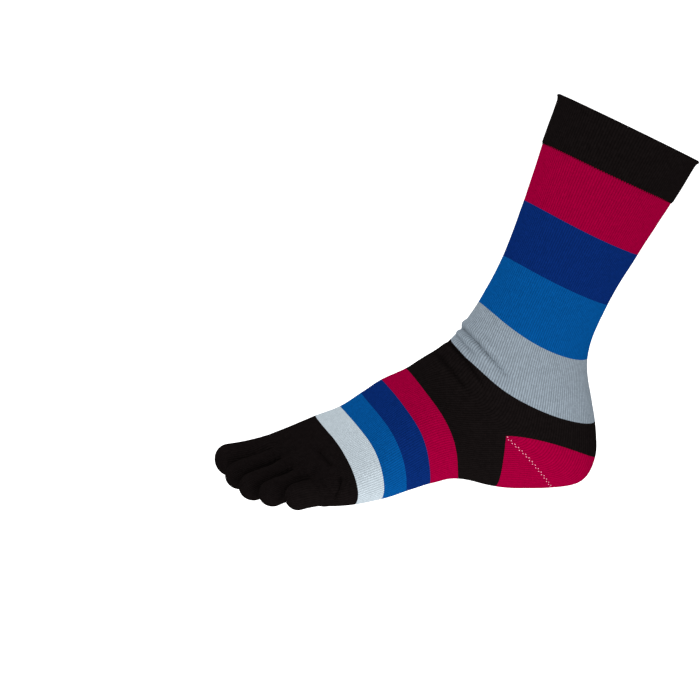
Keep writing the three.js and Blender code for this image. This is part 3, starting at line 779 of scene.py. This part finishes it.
class TOESOCK_OT_cuff(bpy.types.Operator):
    """Build the doubled cuff, with its rounded edges and the stitches that join it to the leg"""

    bl_idname = "toe_sock.cuff"
    bl_label = "Cuff"

    def execute(self, context):
        form = sock_form(context)
        half_wall = form.sizes.cuff_wall / 2
        pulls = (half_wall, -half_wall * HEM_BULGE)
        knit = tube_knit(form, "rim", "cuff_join", pulls, (1.0, HEM_BULGE))
        shell = knit.shell(form.sizes.cuff_wall, form.sizes.cuff_inset)
        length = 2 * form.band_length("rim", "cuff_join")
        stitches = self.join_stitches(context, form)
        knit_piece(context, "cuff_welt", "cuff", "black_welt", shell)
        return {"FINISHED"}

    def join_stitches(self, context, form):
        """Small loops of the cuff's yarn that reach over its lower edge into the leg"""
        turns = (np.arange(form.wales()) + 0.5) / form.wales() * FULL_TURN
        rows = np.full_like(turns, form.row("cuff_join"))
        points = form.surface(rows, turns)
        normals = outward(form.surface, rows, turns)
        onward = unit(form.surface(rows + SLOPE_STEP, turns) - points)
        middles = points + normals * (form.sizes.wall + JOIN_LIFT)
        stitches = [
            (Vector(middle), Vector(direction), Vector(normal), JOIN_LENGTH, JOIN_RADIUS)
            for middle, direction, normal in zip(middles, onward, normals)
        ]
        mesh = stitch_mesh("cuff_join_stitches", stitches)
        material = knit_material("black_welt", context.scene.toe_sock_yarns)
        return place_piece("cuff_join_stitches", mesh, material)


class TOESOCK_OT_leg_bands(bpy.types.Operator):
    """Build the four coloured bands of the leg"""

    bl_idname = "toe_sock.leg_bands"
    bl_label = "Leg bands"

    def execute(self, context):
        build_bands(context, LEG_BANDS)
        return {"FINISHED"}


class TOESOCK_OT_foot_bands(bpy.types.Operator):
    """Build the four coloured bands of the foot"""

    bl_idname = "toe_sock.foot_bands"
    bl_label = "Foot bands"

    def execute(self, context):
        build_bands(context, FOOT_BANDS)
        return {"FINISHED"}


def heel_prism(form, grow):
    """A prism across the sock that holds the heel pocket, as corners and faces"""
    length, height = form.sizes.foot_length, form.sizes.sock_height
    outline = [(HEEL_FRONT_FOOT[0] * length + grow, HEEL_FRONT_FOOT[1] * height)]
    outline.append((HEEL_CORNER[0] * length + grow, HEEL_CORNER[1] * height + grow))
    corner, bend, end = (np.array(point) for point in (HEEL_CORNER, HEEL_UPPER_BEND, HEEL_UPPER_END))
    for share in np.arange(1, HEEL_UPPER_STEPS + 1) / HEEL_UPPER_STEPS:
        x, z = mix(mix(corner, bend, share), mix(bend, end, share), share)
        outline.append((x * length, z * height + grow))
    outline.append((-HEEL_REACH, end[1] * height + grow))
    outline.append((-HEEL_REACH, -HEEL_REACH))
    reach = form.sizes.foot_width
    points = [(x, y, z) for y in (-reach, reach) for x, z in outline]
    count = len(outline)
    faces = [tuple(range(count)), tuple(reversed(range(count, 2 * count)))]
    for i in range(count):
        j = (i + 1) % count
        faces.append((j, i, i + count, j + count))
    return points, faces


def cut_ankle_tube(form, name, operation, grow):
    """The mesh of the tube round the ankle and heel, cut by the heel's prism"""
    knit = tube_knit(form, "grey_end", "instep", (BUTT_GAP / 2, -BUTT_GAP / 2))
    tube = link_object(name, build_mesh(name, *knit.shell(form.sizes.wall)))
    prism = link_object("prism", build_mesh("prism", *heel_prism(form, grow)))
    cut = tube.modifiers.new("cut", "BOOLEAN")
    cut.operation = operation
    cut.object = prism
    cut.solver = "EXACT"
    depsgraph = bpy.context.evaluated_depsgraph_get()
    mesh = bpy.data.meshes.new_from_object(tube.evaluated_get(depsgraph))
    mesh.name = name
    for scratch in (tube, prism):
        old = scratch.data
        bpy.data.objects.remove(scratch)
        bpy.data.meshes.remove(old)
    mesh.materials.clear()
    mesh.set_sharp_from_angle(angle=SHARP_ANGLE)
    return mesh


class TOESOCK_OT_ankle(bpy.types.Operator):
    """Build the black knit round the ankle, with its folds and the opening for the heel"""

    bl_idname = "toe_sock.ankle"
    bl_label = "Ankle"

    def execute(self, context):
        form = sock_form(context)
        mesh = cut_ankle_tube(form, "ankle_knit", "DIFFERENCE", BUTT_GAP)
        material = knit_material("black_knit", context.scene.toe_sock_yarns)
        piece = place_piece("ankle_knit", mesh, material, ["ankle"])
        return {"FINISHED"}


class TOESOCK_OT_heel(bpy.types.Operator):
    """Build the heel pocket and the pale marks of its gore"""

    bl_idname = "toe_sock.heel"
    bl_label = "Heel"

    def execute(self, context):
        form = sock_form(context)
        mesh = cut_ankle_tube(form, "heel_pocket", "INTERSECT", 0.0)
        yarns = context.scene.toe_sock_yarns
        knit = knit_material("magenta_knit", yarns)
        piece = place_piece("heel_pocket", mesh, knit, ["heel"])
        marks_mesh = stitch_mesh("heel_gore_marks", self.gore_stitches(form, mesh))
        marks = place_piece("heel_gore_marks", marks_mesh, thread_material(yarns))
        return {"FINISHED"}

    def gore_stitches(self, form, mesh):
        """Two staggered rows of short dashes down each side of the heel"""
        tree = BVHTree.FromPolygons(
            [vertex.co for vertex in mesh.vertices], [face.vertices for face in mesh.polygons]
        )
        sizes = form.sizes
        line = np.array(GORE_LINE) * (sizes.foot_length, sizes.sock_height)
        runs = np.linalg.norm(np.diff(line, axis=0), axis=1)
        ends = np.concatenate(([0], np.cumsum(runs)))

        def place(run):
            return Vector((np.interp(run, ends, line[:, 0]), 0, np.interp(run, ends, line[:, 1])))

        stitches = []
        for from_side in (1, -1):
            for i in range(int(2 * ends[-1] / GORE_PITCH)):
                run = (i + 0.5) * GORE_PITCH / 2
                direction = place(run + GORE_PITCH) - place(run)
                if direction.length == 0:
                    continue
                direction.normalize()
                spread = GORE_SPREAD if i % 2 else -GORE_SPREAD
                start = place(run) + Vector((-direction.z, 0, direction.x)) * spread
                start.y = from_side * sizes.foot_width
                hit, normal, _, _ = tree.ray_cast(start, Vector((0, -from_side, 0)))
                if hit is None:
                    continue
                direction = (direction - normal * direction.dot(normal)).normalized()
                stitches.append((hit, direction, normal, GORE_LENGTH, GORE_RADIUS))
        return stitches


def forefoot_turns(form):
    """Turn of every corner of the root section, from the inner side over the top and back below"""
    edges = [-1, *form.toe_edges, 1]
    top = [-QUARTER_TURN]
    for toe, steps in enumerate(TOE_STEPS):
        start, end = math.asin(edges[toe]), math.asin(edges[toe + 1])
        count = steps * TOE_SPLIT
        top.extend(mix(start, end, step / count) for step in range(1, count + 1))
    under = [HALF_TURN - turn for turn in reversed(top[1:-1])]
    return np.array(top + under)


def toe_path(centre, knuckle, tip):
    """A smooth curve along a toe: functions that give its points and directions by length"""
    share = np.linspace(0, 1, PATH_STEPS + 1)[:, None]
    points = centre * (1 - share) ** 2 + knuckle * 2 * share * (1 - share) + tip * share**2
    run = np.concatenate(([0], np.cumsum(np.linalg.norm(np.diff(points, axis=0), axis=1))))
    tangents = (knuckle - centre) * (1 - share) + (tip - knuckle) * share

    def at(values, along):
        return np.array([np.interp(along * run[-1], run, values[:, i]) for i in range(3)])

    return run[-1], lambda along: at(points, along), lambda along: unit(at(tangents, along))


def ring_centre(ring):
    """Mean place of a ring's line, whatever the spacing of its corners."""
    after = np.roll(ring, -1, axis=0)
    sides = np.linalg.norm(after - ring, axis=1)
    return ((ring + after) / 2 * sides[:, None]).sum(axis=0) / sides.sum()


def toe_rings(form, toe, root, start_turn):
    """Rings along one toe from its root: those of the stub, those of the pocket, the outward
    directions at the seam between the two, and the tip"""
    sizes = form.sizes
    centre = ring_centre(root)
    scales = np.array([sizes.foot_length, sizes.foot_width, sizes.sock_height])
    tip = np.array([toe["tip_x"], toe["tip_y"], toe["tip_z"]]) * scales
    knuckle = (centre + tip) / 2 + np.array([0, 0, toe["lift"] * sizes.toe_thickness])
    length, point_at, direction_at = toe_path(centre, knuckle, tip)
    half_width = toe["width"] * sizes.foot_width / 2
    half_height = toe["thickness"] * sizes.toe_thickness / 2
    dome_start = 1 - half_height / length
    stub = STUB_LENGTH / length
    roll = form.columns["roll"][form.root_row + 1]
    side = np.array([0, math.cos(roll), math.sin(roll)])
    turns = start_turn + np.arange(len(root)) / len(root) * FULL_TURN
    inner_limit = 0 if toe["name"] == TOES[0][0] else -1
    outer_limit = 0 if toe["name"] == TOES[-1][0] else 1
    drawn_side = np.clip(np.sin(turns), inner_limit, outer_limit)

    def ring_at(along, size, pull):
        forward = direction_at(along)
        up = unit(np.cross(forward, side))
        oval = np.outer(np.sin(turns), side) * half_width + np.outer(np.cos(turns), up) * half_height
        offset = mix(root - centre, oval, smooth(along / ROUNDING_SHARE)) * size
        parting = mix(1, PARTING_LEFT, smooth(along / ROUNDING_SHARE)) * smooth(along / PARTING_SHARE)
        drawn = TOE_CLEARANCE * parting * size * drawn_side
        return point_at(along) + forward * pull + offset - np.outer(drawn, side)

    forward = direction_at(stub)
    spokes = ring_at(stub, 1, 0) - point_at(stub)
    seam_normals = unit(spokes - np.outer(spokes @ forward, forward))
    stub_rings = [ring_at(stub * row / STUB_ROWS, 1, 0) for row in range(STUB_ROWS)]
    stub_rings.append(ring_at(stub, 1, -BUTT_GAP / 2))
    pocket_rows = math.ceil((dome_start - stub) * length / POCKET_ROW_LENGTH)
    pocket_rings = [ring_at(stub, 1, BUTT_GAP / 2)]
    for row in range(1, pocket_rows):
        pocket_rings.append(ring_at(mix(stub, dome_start, row / pocket_rows), 1, 0))
    for row in range(DOME_ROWS):
        bend = row / DOME_ROWS * QUARTER_TURN
        pocket_rings.append(ring_at(mix(dome_start, 1, math.sin(bend)), math.cos(bend), 0))
    return np.array(stub_rings), np.array(pocket_rings), seam_normals, tip


def toe_counts(form, rings, first_course):
    """Stitch counts on the rings of a toe"""
    around = rings.shape[1]
    wales = np.arange(around + 1) / around * round(girth(rings[0]) / form.sizes.wale)
    courses = run_lengths(rings).mean(axis=1) / form.sizes.course + first_course
    return np.stack(np.meshgrid(wales, courses), -1)


def forefoot_tube(form, turns):
    """The forefoot's layer up to the roots of the toes, and the ring of its corners there"""
    first_row = form.row("foot_silver_end")
    top = form.plain(np.linspace(first_row, form.root_row, FOREFOOT_STEPS)[:, None], np.zeros((1, 1)))
    steps = math.ceil(run_lengths(top)[-1, 0] / ROW_LENGTH)
    rows = np.linspace(first_row, form.root_row, steps + 1)[:, None]
    rings = form.surface(rows, turns)
    normals = outward(form.surface, rows, turns)
    rings += normals * unevenness(rings)[..., None]
    rings[0] += unit(rings[1] - rings[0]) * BUTT_GAP / 2
    counts = stitch_counts(form, rows, turns, rings)
    knit = Knit()
    corners = knit.add_run(rings, counts)
    knit.rims.append((corners[0], counts[0], None))
    knit.fixed.append((corners[0], normals[0]))
    return knit, corners[-1]


def toe_outlines(knit, root):
    """The ring of corners at the root of each toe, with the webs between the toes"""
    around = len(root)
    top_edges = np.cumsum([steps * TOE_SPLIT for steps in TOE_STEPS])[:-1].tolist()
    under_edges = [around - corner for corner in top_edges]
    share = np.arange(1, WEB_STEPS)[:, None] / WEB_STEPS
    webs = []
    for top, under in zip(top_edges, under_edges):
        points = mix(knit.points[root[top]], knit.points[root[under]], share)
        points[:, 0] += WEB_REACH * np.sin(share[:, 0] * HALF_TURN)
        webs.append(knit.add(points))

    def run(start, end):
        return [root[i % around] for i in range(start, end + 1)]

    outlines = [run(under_edges[0] - around, top_edges[0]) + webs[0]]
    for i in range(1, len(webs)):
        over = run(top_edges[i - 1], top_edges[i]) + webs[i]
        outlines.append(over + run(under_edges[i], under_edges[i - 1]) + webs[i - 1][::-1])
    outlines.append(run(top_edges[-1], under_edges[-1]) + webs[-1][::-1])
    return outlines


def toe_parts(form):
    """The forefoot's layer, and for each toe its pocket's rings, counts, seam directions and tip"""
    knit, root = forefoot_tube(form, forefoot_turns(form)[None, :])
    pockets = []
    start_side = QUARTER_TURN
    for values, outline in zip(TOES, toe_outlines(knit, root)):
        toe = dict(zip(TOE_COLUMNS, values))
        start_turn = FULL_TURN / len(outline) * TOE_SPLIT + start_side
        start_side = -QUARTER_TURN
        root_points = np.array([knit.points[corner] for corner in outline])
        stub, pocket, seam_normals, tip = toe_rings(form, toe, root_points, start_turn)
        stub_counts = toe_counts(form, stub, 0.0)
        corners = outline
        for k in range(1, len(stub)):
            before = corners
            corners = knit.add(stub[k])
            join_rings(knit.faces, knit.counts, before, corners, stub_counts[k - 1], stub_counts[k])
        knit.rims.append((corners[::-1], stub_counts[-1][::-1], None))
        knit.fixed.append((corners, seam_normals))
        pocket_counts = toe_counts(form, pocket, stub_counts[-1, 0, 1])
        pocket_counts[..., 0] *= stub_counts[-1, -1, 0] / pocket_counts[0, -1, 0]
        pockets.append((toe["name"], pocket, pocket_counts, seam_normals, tip))
    return knit, pockets


class TOESOCK_OT_forefoot(bpy.types.Operator):
    """Build the black forefoot with the roots of the toes and the webs between them"""

    bl_idname = "toe_sock.forefoot"
    bl_label = "Forefoot"

    def execute(self, context):
        form = sock_form(context)
        shell = toe_parts(form)[0].shell(form.sizes.wall)
        knit_piece(context, "forefoot_knit", "forefoot", "black_knit", shell)
        return {"FINISHED"}


class TOESOCK_OT_toes(bpy.types.Operator):
    """Build the five toe pockets"""

    bl_idname = "toe_sock.toes"
    bl_label = "Toe pockets"

    def execute(self, context):
        form = sock_form(context)
        for node, rings, counts, seam_normals, tip in toe_parts(form)[1]:
            knit = Knit()
            corners = knit.add_run(rings, counts)
            self.close_tip(knit, corners[-1], counts[-1], tip)
            knit.rims.append((corners[0], counts[0], None))
            knit.fixed.append((corners[0], seam_normals))
            shell = knit.shell(form.sizes.wall)
            knit_piece(context, node + "_pocket", node, "black_knit", shell)
        return {"FINISHED"}

    def close_tip(self, knit, ring, ring_counts, tip):
        """Closes a pocket's end with four-sided faces: the last ring is joined across its middle"""
        end = knit.add([tip])[0]
        for i in range(0, len(ring), 2):
            a, b, c = ring[i], ring[i + 1], ring[(i + 2) % len(ring)]
            count_a, count_b, count_c = ring_counts[i : i + 3]
            knit.faces.append((a, b, c, end))
            knit.counts.append((count_a, count_b, count_c, count_b))


# Stage


class ToeSockStage(bpy.types.PropertyGroup):
    """Floor, light and camera."""

    distance: size_property("Camera distance", "From the camera to the sock", 1.8)
    lens: bpy.props.FloatProperty(
        name="Lens", description="Focal length of the camera, in millimetres", default=145.68, min=1
    )
    floor_drop: size_property("Floor drop", "How far the floor lies below the sole", 0.3)
    key_power: bpy.props.FloatProperty(
        name="Key light", description="Power of the large key light", default=20, unit="POWER"
    )
    overhead: bpy.props.FloatProperty(
        name="Overhead light", description="Strength of the wide light from above", default=2.0, min=0
    )
    ambient: bpy.props.FloatProperty(
        name="Ambient", description="Strength of the white surroundings", default=0.85, min=0
    )


FRAME_CENTRE = Vector((0.1175, -0.0429, 0.0828))  # what the middle of the picture shows
VIEW_BACK = Vector((0.2352, 0.9336, 0.2704))  # from there to the camera
CAMERA_ROLL = math.radians(-0.8)
FLOOR_SIZE = 20.0
FLOOR_COLOUR = "#fafafa"
OVERHEAD_FROM = Vector((0.35, 0.05, 1.0))
OVERHEAD_SPREAD = math.radians(60)
SENSOR_WIDTH = 36  # millimetres
NEAREST = 0.05
FARTHEST = 60.0
SOFT_LIGHTS = (
    # name, place and size in metres, power as a share of the key light's setting
    ("key", (1.0, 1.3, 0.5), 1.4, 0.05),
    ("toe_side", (1.3, 0.6, 0.1), 1.2, 0.35),
    ("heel_side", (-1.2, 0.5, 0.0), 1.2, 0.25),
    ("far_side", (0.3, -1.5, 1.2), 1.4, 0.6),
    ("foot_side", (0.05, 0.32, -0.06), 0.3, 0.045),
)


def aim(lamp, direction):
    """Turns a lamp or camera to look in a direction."""
    lamp.rotation_mode = "QUATERNION"
    lamp.rotation_quaternion = direction.to_track_quat("-Z", "Y")


class TOESOCK_OT_stage(bpy.types.Operator):
    """Set up the pale floor, the soft lights and the camera"""

    bl_idname = "toe_sock.stage"
    bl_label = "Stage"

    def execute(self, context):
        settings = context.scene.toe_sock_stage
        self.floor(settings)
        self.surroundings(context, settings)
        self.lights(settings)
        self.camera(context, settings)
        return {"FINISHED"}

    def floor(self, settings):
        half = FLOOR_SIZE / 2
        height = CAD_CORNERS[0].z - settings.floor_drop
        corners = [(x * half, y * half, height) for x, y in ((-1, -1), (1, -1), (1, 1), (-1, 1))]
        mesh = bpy.data.meshes.new("floor")
        mesh.from_pydata(corners, [], [(0, 1, 2, 3)])
        material, _, shader = new_material("matt_white_paper")
        shader.inputs["Base Color"].default_value = (*linear(FLOOR_COLOUR), 1)
        shader.inputs["Roughness"].default_value = 1.0
        shader.inputs["Specular IOR Level"].default_value = 0.0
        mesh.materials.append(material)
        link_object("floor", mesh)

    def surroundings(self, context, settings):
        world = bpy.data.worlds.new("white_studio")
        world.use_nodes = True
        background = world.node_tree.nodes["Background"]
        background.inputs["Color"].default_value = (1, 1, 1, 1)
        background.inputs["Strength"].default_value = settings.ambient
        context.scene.world = world
        context.scene.view_settings.view_transform = "Standard"

    def lights(self, settings):
        sky = bpy.data.lights.new("overhead", "SUN")
        sky.energy = settings.overhead
        sky.angle = OVERHEAD_SPREAD
        aim(link_object("overhead", sky), -OVERHEAD_FROM)
        for name, place, size, share in SOFT_LIGHTS:
            light = bpy.data.lights.new(name, "AREA")
            light.shape = "DISK"
            light.size = size
            light.energy = settings.key_power * share
            lamp = link_object(name, light)
            lamp.location = place
            lamp.visible_camera = False
            aim(lamp, FRAME_CENTRE - lamp.location)

    def camera(self, context, settings):
        data = bpy.data.cameras.new("camera")
        data.sensor_width = SENSOR_WIDTH
        data.lens = settings.lens
        data.clip_start = NEAREST
        data.clip_end = FARTHEST
        camera = link_object("camera", data)
        camera.location = FRAME_CENTRE + VIEW_BACK.normalized() * settings.distance
        aim(camera, -VIEW_BACK)
        camera.rotation_quaternion = camera.rotation_quaternion @ Quaternion((0, 0, 1), CAMERA_ROLL)
        context.scene.camera = camera


OPERATORS = (
    TOESOCK_OT_cuff,
    TOESOCK_OT_leg_bands,
    TOESOCK_OT_ankle,
    TOESOCK_OT_heel,
    TOESOCK_OT_foot_bands,
    TOESOCK_OT_forefoot,
    TOESOCK_OT_toes,
    TOESOCK_OT_stage,
)


class TOESOCK_PT_panel(bpy.types.Panel):
    """Sizes, yarns and pieces of the toe sock"""

    bl_label = "Toe Sock"
    bl_idname = "TOESOCK_PT_panel"
    bl_space_type = "VIEW_3D"
    bl_region_type = "UI"
    bl_category = "Toe Sock"

    def draw(self, context):
        layout = self.layout
        for operator in OPERATORS:
            layout.operator(operator.bl_idname)
        for group_name, group in SETTINGS:
            column = layout.column(align=True)
            for name in group.__annotations__:
                column.prop(getattr(context.scene, group_name), name)


SETTINGS = (
    ("toe_sock_sizes", ToeSockSizes),
    ("toe_sock_yarns", ToeSockYarns),
    ("toe_sock_stage", ToeSockStage),
)


def register():
    for _, group in SETTINGS:
        bpy.utils.register_class(group)
    for operator in OPERATORS:
        bpy.utils.register_class(operator)
    bpy.utils.register_class(TOESOCK_PT_panel)
    for name, group in SETTINGS:
        setattr(bpy.types.Scene, name, bpy.props.PointerProperty(type=group))


def unregister():
    for name, _ in SETTINGS:
        delattr(bpy.types.Scene, name)
    bpy.utils.unregister_class(TOESOCK_PT_panel)
    for operator in reversed(OPERATORS):
        bpy.utils.unregister_class(operator)
    for _, group in reversed(SETTINGS):
        bpy.utils.unregister_class(group)


def main():
    register()
    for operator in OPERATORS:
        category, name = operator.bl_idname.split(".")
        getattr(getattr(bpy.ops, category), name)()


if __name__ == "__main__":
    main()
